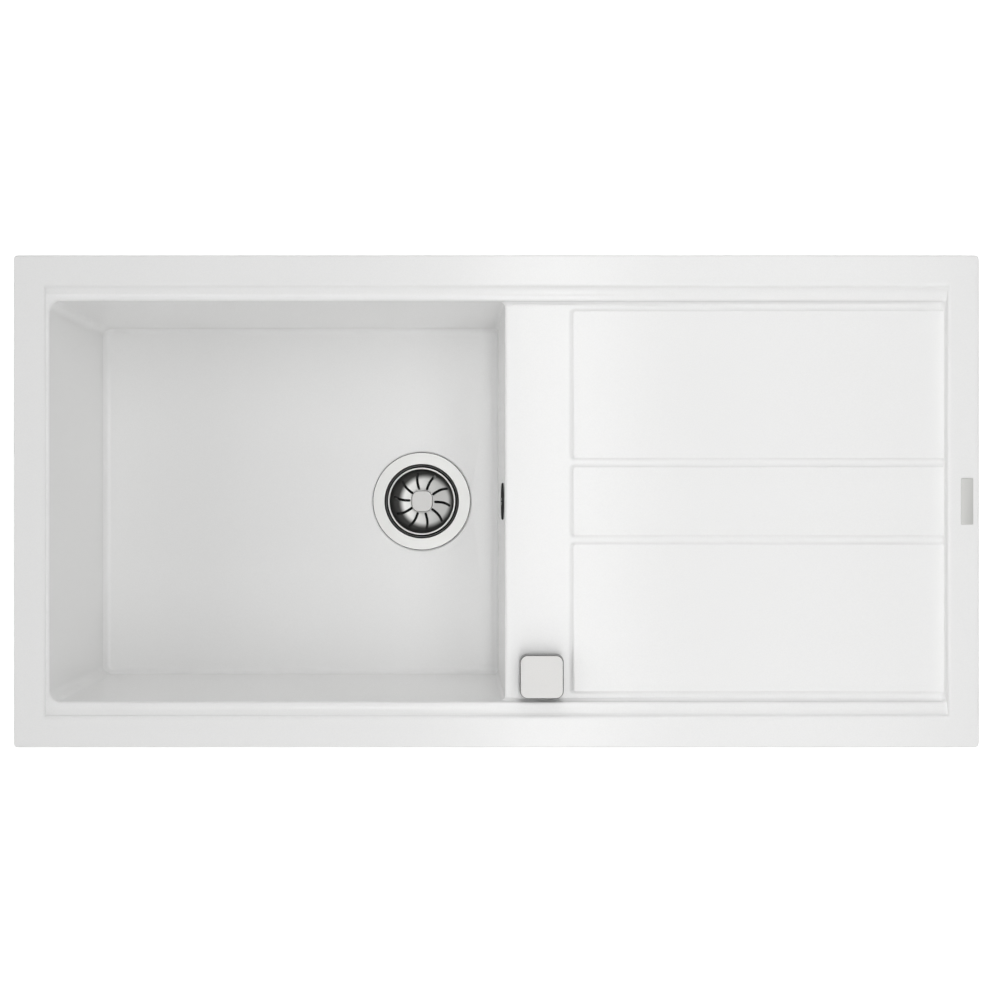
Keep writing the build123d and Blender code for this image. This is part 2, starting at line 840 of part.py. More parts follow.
with BuildPart() as basket:
    outer_wall = basket_wall + basket_sheet
    corner = basket_wall - basket_flat
    section = turned(
        waste_plane,
        (
            (stud_radius + running, basket_under),
            (outer_wall, basket_under),
            (outer_wall, basket_top - basket_bead),
            (basket_radius, basket_top - basket_bead),
            (basket_radius, basket_top),
            (basket_wall, basket_top),
            (basket_wall, basket_floor),
            (stud_radius + running, basket_floor),
        ),
        (
            ((outer_wall, basket_under), corner + basket_sheet),
            ((basket_wall, basket_floor), corner),
            ((basket_wall, basket_top), basket_bead / 2),
            ((basket_radius, basket_top), basket_bead / 2.1),
            ((basket_radius, basket_top - basket_bead), basket_bead / 2.1),
        ),
    )
    revolve(section, axis=waste_axis)
    with BuildSketch(level(basket_under)):
        with PolarLocations(0, slot_count, start_angle=slot_phase):
            add(basket_slot.sketch)
    extrude(amount=basket_depth / 2, mode=Mode.SUBTRACT)
save(basket, "basket")

with BuildPart() as basket_knob:
    with BuildSketch(level(basket_floor)):
        RectangleRounded(basket_knob_width, basket_knob_width, basket_knob_corner)
    extrude(amount=basket_knob_height)
    fillet(basket_knob.faces().sort_by(Axis.Z)[-1].edges(), basket_knob_round)
    with BuildSketch(level(basket_floor)):
        Circle(stud_radius)
    extrude(amount=-stud_length)
save(basket_knob, "basket_knob")

with BuildPart() as stopper_stem:
    plate_low = seal_open + stopper_thickness
    section = turned(
        waste_plane,
        (
            (stud_radius + running, basket_under),
            (stem_plate, basket_under),
            (stem_plate, plate_low),
            (stem_radius, plate_low),
            (stem_radius, stem_low),
            (pin_radius + running, stem_low),
            (pin_radius + running, pin_high + running),
            (0, pin_high + running),
            (0, basket_floor - stud_length - free),
            (stud_radius + running, basket_floor - stud_length - free),
        ),
    )
    revolve(section, axis=waste_axis)
save(stopper_stem, "stopper_stem")

with BuildPart() as stopper_seal:
    points = (
        (stem_radius + running, plate_low),
        (stopper_radius, plate_low),
        (stopper_radius, seal_open),
        (stem_radius + running, seal_open),
    )
    revolve(turned(waste_plane, points, (((stopper_radius, plate_low), 1),)), axis=waste_axis)
save(stopper_seal, "stopper_seal")

with BuildPart() as seal_nut:
    with BuildSketch(level(seal_open)):
        RegularPolygon(seal_nut_radius, 6)
        Circle(stem_radius + running, mode=Mode.SUBTRACT)
    extrude(amount=-seal_nut_height)
    chamfer(seal_nut.faces().sort_by(Axis.Z)[0].outer_wire().edges(), 0.6)
save(seal_nut, "seal_nut")

# ---------------------------------------------------------------- cam shaft, crank and cable glands
with BuildPart() as cam_shaft:
    with BuildSketch(cam_plane.offset(free - chamber_radius)):
        Circle(shaft_radius)
    extrude(amount=chamber_radius - free + crank_start + crank_thickness)
    with BuildSketch(cam_plane.offset(-cam_width / 2)):
        Circle(cam_hub)
        with Locations((-cam_arm / 2 * cos(radians(cam_lean)), cam_arm / 2 * sin(radians(cam_lean)))):
            SlotCenterToCenter(cam_arm, 2 * cam_tip, rotation=180 - cam_lean)
    extrude(amount=cam_width)
    with BuildSketch(cam_plane.offset(crank_start + crank_thickness)):
        Circle(crank_screw_radius + bearing)
    extrude(amount=-boss_length, mode=Mode.SUBTRACT)
save(cam_shaft, "cam_shaft")

with BuildPart() as shaft_seal:
    ring_at = (cam_x, running + ring_section - boss_end, cam_z)
    with BuildSketch(Plane(origin=ring_at, x_dir=(1, 0, 0), z_dir=(0, 0, 1))):
        with Locations((shaft_radius + running + ring_section, 0)):
            Circle(ring_section)
    revolve(axis=Axis((cam_x, 0, cam_z), (0, 1, 0)))
save(shaft_seal, "shaft_seal")

with BuildPart() as crank_arm:
    tip = (crank_length * sin(radians(cam_lean)), crank_length * cos(radians(cam_lean)))
    with BuildSketch(cam_plane.offset(crank_start)):
        Circle(crank_hub)
        with Locations(tip):
            Circle(crank_tip)
        make_hull()
        Circle(shaft_radius + bearing, mode=Mode.SUBTRACT)
        with Locations(tip):
            Circle(cable_hole, mode=Mode.SUBTRACT)
    extrude(amount=crank_thickness)
save(crank_arm, "crank_arm")

with BuildPart() as crank_screw:
    with BuildSketch(cam_plane.offset(crank_start + crank_thickness)):
        Circle(crank_screw_head)
    extrude(amount=body_wall - 1)
    fillet(crank_screw.faces().sort_by(Axis.Y)[0].edges(), 0.7)
    with BuildSketch(cam_plane.offset(crank_start + crank_thickness)):
        Circle(crank_screw_radius)
    extrude(amount=1 - boss_length)
save(crank_screw, "crank_screw")

drum_z = washer_low - housing_wall - free - drum_width / 2 - body_wall
gland_reach = housing_radius - 3
knob_gland_plane = Plane(
    origin=(knob_x + drum_radius, knob_y + gland_reach, drum_z), x_dir=(1, 0, 0), z_dir=(0, 1, 0)
)
gland_at = bracket_plane.from_local_coords((gland_y, gland_z, bracket_thickness / 2))
waste_gland_plane = Plane(origin=gland_at, x_dir=(0, 1, 0), z_dir=(1, 0, 0))

with BuildPart() as cable_glands:
    for place in (knob_gland_plane, waste_gland_plane):
        with BuildSketch(place):
            RegularPolygon(gland_collar, 6)
        extrude(amount=gland_collar_height)
        with BuildSketch(place.offset(-gland_length / 2)):
            Circle(gland_radius)
        extrude(amount=gland_length)
        with BuildSketch(place.offset(-gland_length)):
            Circle(gland_bore)
        extrude(amount=2 * gland_length, mode=Mode.SUBTRACT)
save(cable_glands, "cable_glands")

# ---------------------------------------------------------------- overflow
with BuildPart() as overflow_grid:
    with BuildSketch(overflow_in):
        Circle(overflow_diameter / 2)
    extrude(amount=overflow_proud)
    front = overflow_grid.faces().sort_by(Axis.X)[0]
    fillet(front.edges(), overflow_round)
    with BuildSketch(overflow_in):
        Circle(overflow_hole / 2 - free)
        Circle(overflow_hole / 2 - free - spigot_wall, mode=Mode.SUBTRACT)
    extrude(amount=free - wall_normal)
    with BuildSketch(overflow_in):
        with PolarLocations(grid_slot_circle, grid_slots):
            SlotOverall(grid_slot_length, grid_slot_width)
        Circle(overflow_screw_radius + running)
    extrude(amount=overflow_proud, mode=Mode.SUBTRACT)
    with BuildSketch(overflow_in.offset(overflow_proud / 3)):
        Circle(overflow_screw_head + running)
    extrude(amount=overflow_proud, mode=Mode.SUBTRACT)
save(overflow_grid, "overflow_grid")

hub_end = overflow_gasket_thickness + elbow_plate + elbow_hub_length
with BuildPart() as overflow_screw:
    with BuildSketch(overflow_in.offset(overflow_proud / 3)):
        Circle(overflow_screw_head)
    extrude(amount=2 * overflow_proud / 3)
    with BuildSketch(overflow_in.offset(overflow_proud / 3)):
        Circle(overflow_screw_radius)
    extrude(amount=1 - overflow_proud / 3 - wall_normal - hub_end)
    with BuildSketch(overflow_in.offset(overflow_proud)):
        Rectangle(1.2, 2 * overflow_screw_head)
    extrude(amount=-overflow_proud / 3, mode=Mode.SUBTRACT)
save(overflow_screw, "overflow_screw")

with BuildPart() as overflow_gasket:
    with BuildSketch(overflow_out):
        Circle(elbow_flange)
        Circle(overflow_hole / 2, mode=Mode.SUBTRACT)
    extrude(amount=-overflow_gasket_thickness)
save(overflow_gasket, "overflow_gasket")

with BuildPart() as overflow_elbow:
    with BuildSketch(overflow_out.offset(-overflow_gasket_thickness)):
        Circle(elbow_flange)
    extrude(amount=-elbow_plate)
    with BuildSketch(level(elbow_top, duct_x)):
        SlotOverall(duct_width + 2 * (free + duct_wall), duct_depth + 2 * (free + duct_wall), rotation=90)
    extrude(amount=-elbow_height)
    fillet(overflow_elbow.faces().sort_by(Axis.Z)[-1].edges(), 2 * duct_wall)
    with BuildSketch(level(elbow_top - duct_wall, duct_x)):
        SlotOverall(duct_width + 2 * free, duct_depth + 2 * free, rotation=90)
    extrude(amount=-elbow_height, mode=Mode.SUBTRACT)
    # way in through the flange, with the screw's hub on a bar across it
    with BuildSketch(overflow_out.offset(-overflow_gasket_thickness)):
        Circle(elbow_bore)
    extrude(amount=overflow_out.origin.X - duct_x, mode=Mode.SUBTRACT)
    with BuildSketch(overflow_out.offset(-overflow_gasket_thickness)):
        Rectangle(body_wall, 2 * elbow_bore + 1)
    extrude(amount=-elbow_plate)
    with BuildSketch(overflow_out.offset(-overflow_gasket_thickness)):
        Circle(elbow_hub)
    extrude(amount=-elbow_plate - elbow_hub_length)
    with BuildSketch(overflow_out):
        Circle(overflow_screw_radius + bearing)
    extrude(amount=-hub_end, mode=Mode.SUBTRACT)
save(overflow_elbow, "overflow_elbow")

with BuildPart() as overflow_duct:
    duct_end = socket_end - socket_depth + duct_wall
    with BuildLine(Plane.XZ):
        FilletPolyline((duct_x, duct_top), (duct_x, inlet_z), (duct_end, inlet_z), radius=duct_bend)
    with BuildSketch(Plane(origin=(duct_x, 0, duct_top), x_dir=(0, 1, 0), z_dir=(0, 0, -1))):
        SlotOverall(duct_width, duct_depth)
        SlotOverall(duct_width - 2 * duct_wall, duct_depth - 2 * duct_wall, mode=Mode.SUBTRACT)
    sweep()
save(overflow_duct, "overflow_duct")

with BuildPart() as duct_seal:
    slack = duct_seal_gap - running
    with BuildSketch(inlet_plane.offset(-socket_depth / 4)):
        SlotOverall(duct_width + 2 * slack, duct_depth + 2 * slack)
        SlotOverall(duct_width + 2 * running, duct_depth + 2 * running, mode=Mode.SUBTRACT)
    extrude(amount=-socket_depth / 3)
save(duct_seal, "duct_seal")

# ---------------------------------------------------------------- waste control knob
spindle_high = knob_low + 2 * knob_height / 3
drum_high = drum_z + drum_width / 2
drum_low = drum_z - drum_width / 2
barrel_high = knob_low - 2 * free - escutcheon_plate - free
with BuildPart() as knob_cap:
    taper = atan2(knob_size - knob_top_size, 2 * knob_height)
    with BuildSketch(level(knob_low, knob_x, knob_y)):
        RectangleRounded(knob_size, knob_size, knob_corner)
    extrude(amount=knob_height, taper=degrees(taper))
    fillet(knob_cap.faces().sort_by(Axis.Z)[-1].edges(), knob_top_round)
    with BuildSketch(level(knob_low, knob_x, knob_y)):
        RectangleRounded(knob_size - 2 * knob_wall, knob_size - 2 * knob_wall, knob_corner - knob_wall)
    extrude(amount=knob_height - knob_wall, taper=degrees(taper), mode=Mode.SUBTRACT)
save(knob_cap, "knob_cap")

with BuildPart() as knob_core:
    core_high = knob_high - knob_wall
    with BuildSketch(level(core_high, knob_x, knob_y)):
        Circle(core_radius)
        with PolarLocations(0, 2, angular_range=180):
            Rectangle(knob_top_size - 2 * knob_wall - 1, core_rib)
    extrude(amount=knob_low + 1 - core_high)
    with BuildSketch(level(knob_low, knob_x, knob_y)):
        Circle(spindle_radius + bearing)
    extrude(amount=spindle_high + free - knob_low, mode=Mode.SUBTRACT)
save(knob_core, "knob_core")

with BuildPart() as spindle:
    with BuildSketch(level(spindle_high, knob_x, knob_y)):
        Circle(spindle_radius)
    extrude(amount=housing_low - body_wall + 1 - spindle_high)
    chamfer(spindle.edges().filter_by(GeomType.CIRCLE).group_by(Axis.Z)[-1], spindle_radius / 8)
save(spindle, "spindle")

with BuildPart() as escutcheon:
    nut_bore = barrel_radius + 2 * running
    nut_top = knob_low - 2 * free
    section = turned(
        knob_plane,
        (
            (nut_bore, escutcheon_seat),
            (escutcheon_radius, escutcheon_seat),
            (escutcheon_radius, escutcheon_seat + escutcheon_plate),
            (escutcheon_top, nut_top),
            (spindle_radius + free, nut_top),
            (spindle_radius + free, nut_top - escutcheon_plate),
            (nut_bore, nut_top - escutcheon_plate),
        ),
        (((escutcheon_top, nut_top), 1),),
    )
    revolve(section, axis=knob_axis)
save(escutcheon, "escutcheon")

with BuildPart() as escutcheon_gasket:
    inner = tap_hole_diameter / 2 + running
    revolve(ring(knob_plane, inner, escutcheon_radius, knob_seat, escutcheon_seat), axis=knob_axis)
save(escutcheon_gasket, "escutcheon_gasket")

with BuildPart() as housing_washer:
    inner = tap_hole_diameter / 2 + 1
    revolve(ring(knob_plane, inner, housing_radius - 1, washer_low, knob_pad), axis=knob_axis)
save(housing_washer, "housing_washer")

with BuildPart() as knob_housing:
    inner = housing_radius - housing_wall
    shell = (
        (0, housing_low),
        (housing_radius, housing_low),
        (housing_radius, washer_low),
        (barrel_radius, washer_low),
        (barrel_radius, barrel_high),
        (0, barrel_high),
    )
    hollow = (
        (0, housing_low),
        (inner, housing_low),
        (inner, washer_low - housing_wall),
        (barrel_radius - housing_wall, washer_low - housing_wall),
        (barrel_radius - housing_wall, barrel_high - housing_wall),
        (0, barrel_high - housing_wall),
    )
    revolve(turned(knob_plane, shell), axis=knob_axis)
    with BuildSketch(level(housing_low, knob_x, knob_y)):
        with PolarLocations(housing_radius, screw_count):
            Circle(ear_radius)
    extrude(amount=ear_length)
    with BuildSketch(knob_gland_plane):
        Rectangle(3 * gland_radius, 3 * gland_radius)
    extrude(amount=-gland_reach / 2)
    revolve(turned(knob_plane, hollow), axis=knob_axis, mode=Mode.SUBTRACT)
    with BuildSketch(level(barrel_high, knob_x, knob_y)):
        Circle(spindle_radius + bearing)
    extrude(amount=-housing_wall, mode=Mode.SUBTRACT)
    with BuildSketch(knob_gland_plane):
        Circle(gland_radius + bearing)
    extrude(amount=-gland_reach, mode=Mode.SUBTRACT)
    with BuildSketch(level(housing_low, knob_x, knob_y)):
        with PolarLocations(housing_radius, screw_count):
            Circle(cover_screw_radius + bearing)
    extrude(amount=ear_length - 1, mode=Mode.SUBTRACT)
save(knob_housing, "knob_housing")

with BuildPart() as cable_drum:
    section = turned(
        knob_plane,
        (
            (spindle_radius + bearing, drum_low),
            (drum_radius, drum_low),
            (drum_radius, drum_z - drum_groove),
            (drum_radius - drum_groove, drum_z),
            (drum_radius, drum_z + drum_groove),
            (drum_radius, drum_high),
            (spindle_radius + bearing, drum_high),
        ),
    )
    revolve(section, axis=knob_axis)
    with BuildSketch(level(drum_low, knob_x, knob_y)):
        with PolarLocations((drum_radius + spindle_radius) / 2 - 1, 4, start_angle=45):
            Circle(drum_groove + 1)
    extrude(amount=drum_width, mode=Mode.SUBTRACT)
save(cable_drum, "cable_drum")

with BuildPart() as housing_cover:
    with BuildSketch(level(housing_low, knob_x, knob_y)):
        Circle(housing_radius)
        with PolarLocations(housing_radius, screw_count):
            Circle(ear_radius)
    extrude(amount=-cover_thickness)
    with BuildSketch(level(housing_low, knob_x, knob_y)):
        Circle(spindle_radius + bearing)
    extrude(amount=-body_wall, mode=Mode.SUBTRACT)
    with BuildSketch(level(housing_low, knob_x, knob_y)):
        with PolarLocations(housing_radius, screw_count):
            Circle(cover_screw_radius + running)
    extrude(amount=-cover_thickness, mode=Mode.SUBTRACT)
save(housing_cover, "housing_cover")

with BuildPart() as cover_screws:
    with BuildSketch(level(housing_low - cover_thickness, knob_x, knob_y)):
        with PolarLocations(housing_radius, screw_count):
            Circle(cover_screw_head)
    extrude(amount=-cover_screw_radius)
    with BuildSketch(level(housing_low - cover_thickness, knob_x, knob_y)):
        with PolarLocations(housing_radius, screw_count):
            Circle(cover_screw_radius)
    extrude(amount=cover_thickness + ear_length - 3)
save(cover_screws, "cover_screws")

# ---------------------------------------------------------------- worktop clips
claw_low = -worktop - claw_drop
clip_points = [(x, y) for x, y, turn in clip_places]
with BuildPart() as clip_inserts:
    with BuildSketch(Plane.XY.offset(boss_low)):
        with Locations(clip_points):
            Circle(insert_radius - bearing)
            Circle(clip_screw_radius + bearing, mode=Mode.SUBTRACT)
    extrude(amount=insert_length)
save(clip_inserts, "clip_inserts")

with BuildPart() as clip_screws:
    with BuildSketch(Plane.XY.offset(claw_low - running)):
        with Locations(clip_points):
            RegularPolygon(clip_screw_head, 6)
    extrude(amount=-clip_head_height)
    with BuildSketch(Plane.XY.offset(claw_low - running)):
        with Locations(clip_points):
            Circle(clip_screw_radius)
    extrude(amount=boss_low + insert_length - 2 - claw_low + running)
save(clip_screws, "clip_screws")

for number, (x, y, turn) in enumerate(clip_places, start=1):
    base = Plane(origin=(x, y, claw_low), x_dir=(cos(radians(turn)), sin(radians(turn)), 0), z_dir=(0, 0, 1))
    with BuildPart() as claw:
        with BuildSketch(base):
            with Locations(((claw_reach - claw_heel) / 2, 0)):
                RectangleRounded(claw_reach + claw_heel, claw_width, claw_sheet / 2)
        extrude(amount=claw_sheet)
        with BuildSketch(base):
            with Locations((claw_sheet / 2 - claw_heel, 0)):
                Rectangle(claw_sheet, claw_width - claw_sheet)
        extrude(amount=boss_low - free - claw_low)
        with BuildSketch(base):
            with Locations((claw_reach - claw_sheet / 2, 0)):
                Rectangle(claw_sheet, claw_width - claw_sheet)
        extrude(amount=claw_drop - free)
        with BuildSketch(base):
            Circle(claw_hub)
        extrude(amount=claw_hub_height)
        with BuildSketch(base):
            Circle(clip_screw_radius + running)
        extrude(amount=rib_depth, mode=Mode.SUBTRACT)
    save(claw, f"clip_claw_{number}")
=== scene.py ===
# %% [markdown]
# # Kitchen sink with drainboard
# A white sink moulded in stone composite: one deep bowl on the left, a drainboard on the
# right, a pop-up waste with a strainer basket, an overflow and a square knob that works the
# waste. It hangs in a worktop cut-out, held by eight clips.
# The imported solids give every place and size. This script gives them their looks, so it
# loads them first and never moves them.

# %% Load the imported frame
import json
from math import cos, pi, radians, sin

import bpy
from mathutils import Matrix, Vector


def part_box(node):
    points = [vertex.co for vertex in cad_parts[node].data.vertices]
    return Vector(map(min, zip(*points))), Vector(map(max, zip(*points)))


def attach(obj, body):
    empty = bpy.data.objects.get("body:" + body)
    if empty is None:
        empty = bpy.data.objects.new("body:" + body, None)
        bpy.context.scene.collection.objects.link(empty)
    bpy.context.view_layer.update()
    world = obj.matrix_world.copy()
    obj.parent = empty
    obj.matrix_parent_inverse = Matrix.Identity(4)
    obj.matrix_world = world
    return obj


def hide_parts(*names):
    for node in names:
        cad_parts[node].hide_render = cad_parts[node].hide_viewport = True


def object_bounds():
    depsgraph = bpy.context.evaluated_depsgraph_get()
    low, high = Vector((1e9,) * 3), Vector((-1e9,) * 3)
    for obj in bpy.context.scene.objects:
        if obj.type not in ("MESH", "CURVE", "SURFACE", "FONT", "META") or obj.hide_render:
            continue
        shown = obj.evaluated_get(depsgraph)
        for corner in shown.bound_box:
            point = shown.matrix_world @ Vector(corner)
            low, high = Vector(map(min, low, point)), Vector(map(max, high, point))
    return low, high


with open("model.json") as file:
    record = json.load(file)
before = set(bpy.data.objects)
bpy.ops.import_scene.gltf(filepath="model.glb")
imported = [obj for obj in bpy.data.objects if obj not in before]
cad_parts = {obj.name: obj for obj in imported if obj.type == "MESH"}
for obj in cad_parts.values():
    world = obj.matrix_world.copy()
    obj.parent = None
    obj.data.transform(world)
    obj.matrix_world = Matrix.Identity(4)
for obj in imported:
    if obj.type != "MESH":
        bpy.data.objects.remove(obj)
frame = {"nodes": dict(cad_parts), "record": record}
cad_low, cad_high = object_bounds()
print("packed parts:", len(frame["nodes"]), "box:", tuple(cad_low), tuple(cad_high))

# %% [markdown]
# ## Camera, light and floor
# The photograph looks straight down on the sink from about 1.6 m, so that the walls of the
# bowl show on all four sides. A camera has to stand at the same height to show the same
# amount of wall: a longer lens from further away would hide them.

# %% Camera above the middle of the sink
view_height = 1.616
view_aim = (0.0039, 0.0014)
lens_mm = 55.85
camera_data = bpy.data.cameras.new("camera")
camera_data.lens = lens_mm
camera_data.sensor_width = 36.0
camera = bpy.data.objects.new("camera", camera_data)
camera.location = (*view_aim, view_height)
bpy.context.scene.collection.objects.link(camera)
bpy.context.scene.camera = camera
bpy.context.scene.view_settings.view_transform = "Standard"
print("camera height", view_height, "lens", lens_mm)

# %% [markdown]
# Two long soft lamps hang over the sink, side by side, as a studio would hang strip lights:
# a bright one over the edge of the bowl and a weaker one over the drainboard. The rim is
# brightest right under the first and greys towards the left, as in the photograph. Three
# square lamps in front, behind and at the left reach the steep walls of the bowl, which the
# lamps above hardly touch, and white surroundings fill what is left.
# A strip lamp is a name, a place along the sink, a width and a power. A side lamp is a name,
# a place and a power.

# %% Soft lamps and white surroundings
lamp_height = 1.5
lamp_length = 2.4
strip_lamps = (("bowl_lamp", 0.118, 0.24, 8.9), ("drainboard_lamp", 0.65, 0.5, 5.7))
side_lamps = (
    ("front_lamp", (0.0, -2.2, 1.3), 8.6),
    ("back_lamp", (0.0, 2.2, 1.3), 6.6),
    ("left_lamp", (-2.2, 0.0, 1.3), 10.4),
)
side_lamp_size = 1.6
surround_strength = 0.3


def strip_lamp(name, x, width, power):
    """A long lamp over the sink that shines straight down."""
    lamp_data = bpy.data.lights.new(name, "AREA")
    lamp_data.shape = "RECTANGLE"
    lamp_data.size = width
    lamp_data.size_y = lamp_length
    lamp_data.energy = power
    lamp = bpy.data.objects.new(name, lamp_data)
    lamp.location = (x, 0.0, lamp_height)
    bpy.context.scene.collection.objects.link(lamp)


def side_lamp(name, place, power):
    """A square lamp beside the sink that points at its middle."""
    lamp_data = bpy.data.lights.new(name, "AREA")
    lamp_data.size = side_lamp_size
    lamp_data.energy = power
    lamp = bpy.data.objects.new(name, lamp_data)
    lamp.location = place
    lamp.rotation_euler = (-Vector(place)).to_track_quat("-Z", "Y").to_euler()
    bpy.context.scene.collection.objects.link(lamp)


for name, x, width, power in strip_lamps:
    strip_lamp(name, x, width, power)
for name, place, power in side_lamps:
    side_lamp(name, place, power)
world = bpy.data.worlds.new("white surroundings")
bpy.context.scene.world = world
world.use_nodes = True
background = world.node_tree.nodes["Background"]
background.inputs["Color"].default_value = (1, 1, 1, 1)
background.inputs["Strength"].default_value = surround_strength
print("lamps:", len(strip_lamps) + len(side_lamps), "surroundings", surround_strength)

# %% [markdown]
# The floor is seen only as a white sheet round the sink. It shines a little by itself for
# the camera, and for metal that mirrors it, and still takes the soft shadow. Seen from
# below it is clear, so that the underside of the sink can be looked at too.

# %% White floor
floor_gap = 0.0002
floor_height = cad_low.z - floor_gap
floor_size = 60.0
floor_shade = 0.6
floor_glow = 0.8
bpy.ops.object.select_all(action="DESELECT")
bpy.ops.mesh.primitive_plane_add(size=floor_size, location=(0, 0, floor_height))
floor = bpy.context.object
floor.name = "studio_floor"
bpy.ops.object.transform_apply(location=True, rotation=True, scale=True)
paper = bpy.data.materials.new("white floor")
paper.use_nodes = True
nodes, links = paper.node_tree.nodes, paper.node_tree.links
nodes.clear()
matt = nodes.new("ShaderNodeBsdfDiffuse")
matt.inputs["Color"].default_value = (floor_shade, floor_shade, floor_shade, 1)
glow = nodes.new("ShaderNodeEmission")
seen = nodes.new("ShaderNodeLightPath")
mirrored = nodes.new("ShaderNodeMath")
mirrored.operation = "MAXIMUM"
any_view = nodes.new("ShaderNodeMath")
any_view.operation = "MAXIMUM"
strength = nodes.new("ShaderNodeMath")
strength.operation = "MULTIPLY"
strength.inputs[1].default_value = floor_glow
links.new(seen.outputs["Is Camera Ray"], mirrored.inputs[0])
links.new(seen.outputs["Is Glossy Ray"], mirrored.inputs[1])
links.new(mirrored.outputs[0], any_view.inputs[0])
links.new(seen.outputs["Is Transmission Ray"], any_view.inputs[1])
links.new(any_view.outputs[0], strength.inputs[0])
links.new(strength.outputs[0], glow.inputs["Strength"])
both = nodes.new("ShaderNodeAddShader")
links.new(matt.outputs[0], both.inputs[0])
links.new(glow.outputs[0], both.inputs[1])
clear = nodes.new("ShaderNodeBsdfTransparent")
side = nodes.new("ShaderNodeNewGeometry")
one_sided = nodes.new("ShaderNodeMixShader")
links.new(side.outputs["Backfacing"], one_sided.inputs[0])
links.new(both.outputs[0], one_sided.inputs[1])
links.new(clear.outputs[0], one_sided.inputs[2])
finish_output = nodes.new("ShaderNodeOutputMaterial")
links.new(one_sided.outputs[0], finish_output.inputs["Surface"])
floor.data.materials.append(paper)
print("floor at", round(floor_height, 4))

# %% [markdown]
# ## Finishes
# Two effects are shared by the finishes, so each is built once as a node group.
# The first is grain: small clouds that change a colour and its gloss a little and raise
# the surface by a few hundredths of a millimetre. Without it every surface looks like
# paint from a can.


# %% Shared effect: grain
def node_group(name, inputs, outputs):
    """An empty shader node group with named inputs and outputs."""
    tree = bpy.data.node_groups.new(name, "ShaderNodeTree")
    for label, kind, value in inputs:
        socket = tree.interface.new_socket(label, in_out="INPUT", socket_type=kind)
        socket.default_value = value
    for label, kind in outputs:
        tree.interface.new_socket(label, in_out="OUTPUT", socket_type=kind)
    return tree, tree.nodes.new("NodeGroupInput"), tree.nodes.new("NodeGroupOutput")


grain_group, group_in, group_out = node_group(
    "grain",
    (
        ("Vector", "NodeSocketVector", (0, 0, 0)),
        ("Scale", "NodeSocketFloat", 2000.0),
        ("Colour", "NodeSocketColor", (0.8, 0.8, 0.8, 1)),
        ("Other colour", "NodeSocketColor", (0.7, 0.7, 0.7, 1)),
        ("Smoothest", "NodeSocketFloat", 0.4),
        ("Roughest", "NodeSocketFloat", 0.5),
        ("Depth", "NodeSocketFloat", 0.00002),
    ),
    (
        ("Colour", "NodeSocketColor"),
        ("Roughness", "NodeSocketFloat"),
        ("Normal", "NodeSocketVector"),
    ),
)
nodes, links = grain_group.nodes, grain_group.links
fine = nodes.new("ShaderNodeTexNoise")
fine.inputs["Detail"].default_value = 3.0
fine.inputs["Roughness"].default_value = 0.6
links.new(group_in.outputs["Vector"], fine.inputs["Vector"])
links.new(group_in.outputs["Scale"], fine.inputs["Scale"])
contrast = nodes.new("ShaderNodeMapRange")
contrast.inputs["From Min"].default_value = 0.35
contrast.inputs["From Max"].default_value = 0.65
links.new(fine.outputs["Fac"], contrast.inputs["Value"])
tint = nodes.new("ShaderNodeMixRGB")
links.new(contrast.outputs["Result"], tint.inputs["Fac"])
links.new(group_in.outputs["Colour"], tint.inputs["Color1"])
links.new(group_in.outputs["Other colour"], tint.inputs["Color2"])
links.new(tint.outputs["Color"], group_out.inputs["Colour"])
gloss = nodes.new("ShaderNodeMapRange")
links.new(contrast.outputs["Result"], gloss.inputs["Value"])
links.new(group_in.outputs["Smoothest"], gloss.inputs["To Min"])
links.new(group_in.outputs["Roughest"], gloss.inputs["To Max"])
links.new(gloss.outputs["Result"], group_out.inputs["Roughness"])
raised = nodes.new("ShaderNodeBump")
links.new(fine.outputs["Fac"], raised.inputs["Height"])
links.new(group_in.outputs["Depth"], raised.inputs["Distance"])
links.new(raised.outputs["Normal"], group_out.inputs["Normal"])
print("group", grain_group.name, "with", len(nodes), "nodes")

# %% [markdown]
# The second effect is tool marks: the fine lines that a lathe or a polishing belt leaves on
# steel. On a turned or pressed round piece they run in circles, so the pattern depends only
# on the distance from the axis; on a flat strip they run straight. One noise texture makes
# both, because it is read along a single line.

# %% Shared effect: tool marks
marks_group, group_in, group_out = node_group(
    "tool marks",
    (
        ("Vector", "NodeSocketVector", (0, 0, 0)),
        ("Round", "NodeSocketFloat", 1.0),
        ("Scale", "NodeSocketFloat", 3000.0),
        ("Smoothest", "NodeSocketFloat", 0.2),
        ("Roughest", "NodeSocketFloat", 0.35),
        ("Depth", "NodeSocketFloat", 0.00001),
    ),
    (("Roughness", "NodeSocketFloat"), ("Normal", "NodeSocketVector")),
)
nodes, links = marks_group.nodes, marks_group.links
split = nodes.new("ShaderNodeSeparateXYZ")
links.new(group_in.outputs["Vector"], split.inputs["Vector"])
flat_place = nodes.new("ShaderNodeCombineXYZ")
links.new(split.outputs["X"], flat_place.inputs["X"])
links.new(split.outputs["Y"], flat_place.inputs["Y"])
radius = nodes.new("ShaderNodeVectorMath")
radius.operation = "LENGTH"
links.new(flat_place.outputs["Vector"], radius.inputs[0])
along = nodes.new("ShaderNodeMix")
links.new(group_in.outputs["Round"], along.inputs[0])
links.new(split.outputs["X"], along.inputs[2])
links.new(radius.outputs["Value"], along.inputs[3])
scaled = nodes.new("ShaderNodeMath")
scaled.operation = "MULTIPLY"
links.new(along.outputs[0], scaled.inputs[0])
links.new(group_in.outputs["Scale"], scaled.inputs[1])
lines = nodes.new("ShaderNodeTexNoise")
lines.noise_dimensions = "1D"
lines.inputs["Scale"].default_value = 1.0
lines.inputs["Detail"].default_value = 4.0
links.new(scaled.outputs[0], lines.inputs["W"])
